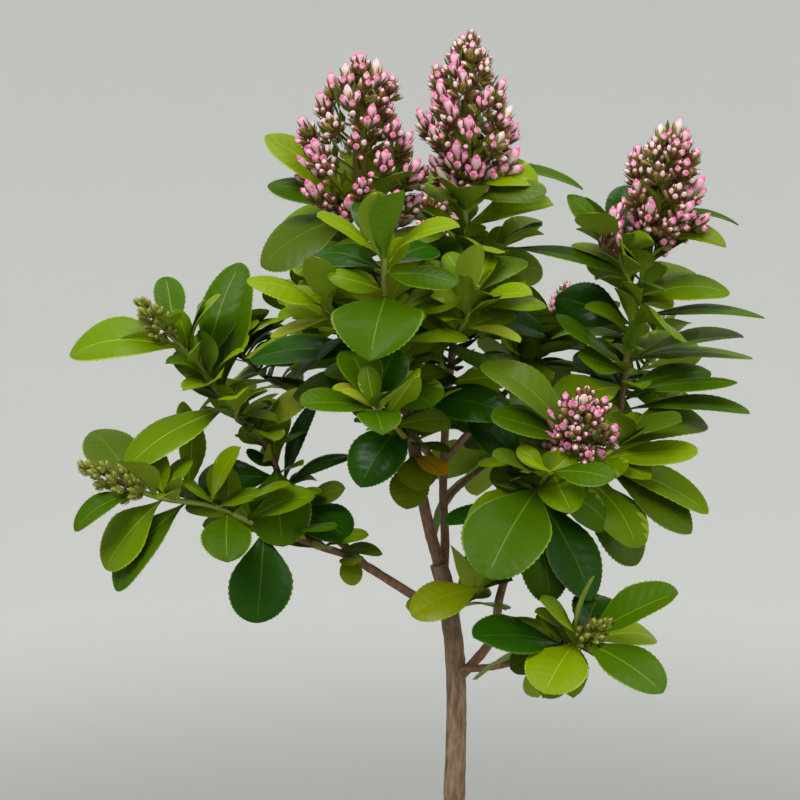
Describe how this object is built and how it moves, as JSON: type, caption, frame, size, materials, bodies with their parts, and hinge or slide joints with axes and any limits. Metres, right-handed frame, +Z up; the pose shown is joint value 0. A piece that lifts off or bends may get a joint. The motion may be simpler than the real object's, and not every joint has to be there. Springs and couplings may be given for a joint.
{
  "type": "potted standard shrub",
  "caption": "Potted standard escallonia with a clear straight stem, a loose crown of glossy toothed leaves, upright cones of pink flower buds and a plain nursery pot",
  "frame": {"origin": "centre of the pot's flat underside", "axes": "+Z up along the stem; -Y towards the front of the picture; +X to its right"},
  "size_m": [0.3284, 0.2322, 0.7782],
  "materials": {
    "pot": "matt",
    "soil": "rough, moist",
    "bark": "rough",
    "foliage": "glossy"
  },
  "bodies": {
    "root": {"bough_back": "bark", "bough_back_left": "bark", "bough_back_low": "bark", "bough_back_right": "bark", "bough_behind": "bark", "bough_front": "bark", "bough_front_rear": "bark", "bough_left": "bark", "bough_left_back": "bark", "bough_left_riser": "bark", "bough_right": "bark", "bough_right_back": "bark", "bough_right_low": "bark", "bough_right_side": "bark", "bough_right_top": "bark", "foliage_back": "foliage", "foliage_back_left": "foliage", "foliage_back_low": "foliage", "foliage_back_right": "foliage", "foliage_front": "foliage", "foliage_left_back": "foliage", "foliage_left_low": "foliage", "foliage_left_up": "foliage", "foliage_right": "foliage", "foliage_right_back": "foliage", "foliage_right_low": "foliage", "foliage_right_mid": "foliage", "foliage_right_top": "foliage", "foliage_sprig": "foliage", "foliage_top": "foliage", "foliage_top_left": "foliage", "pot": "pot", "soil": "soil", "trunk": "bark"}
  },
  "joints": []
}
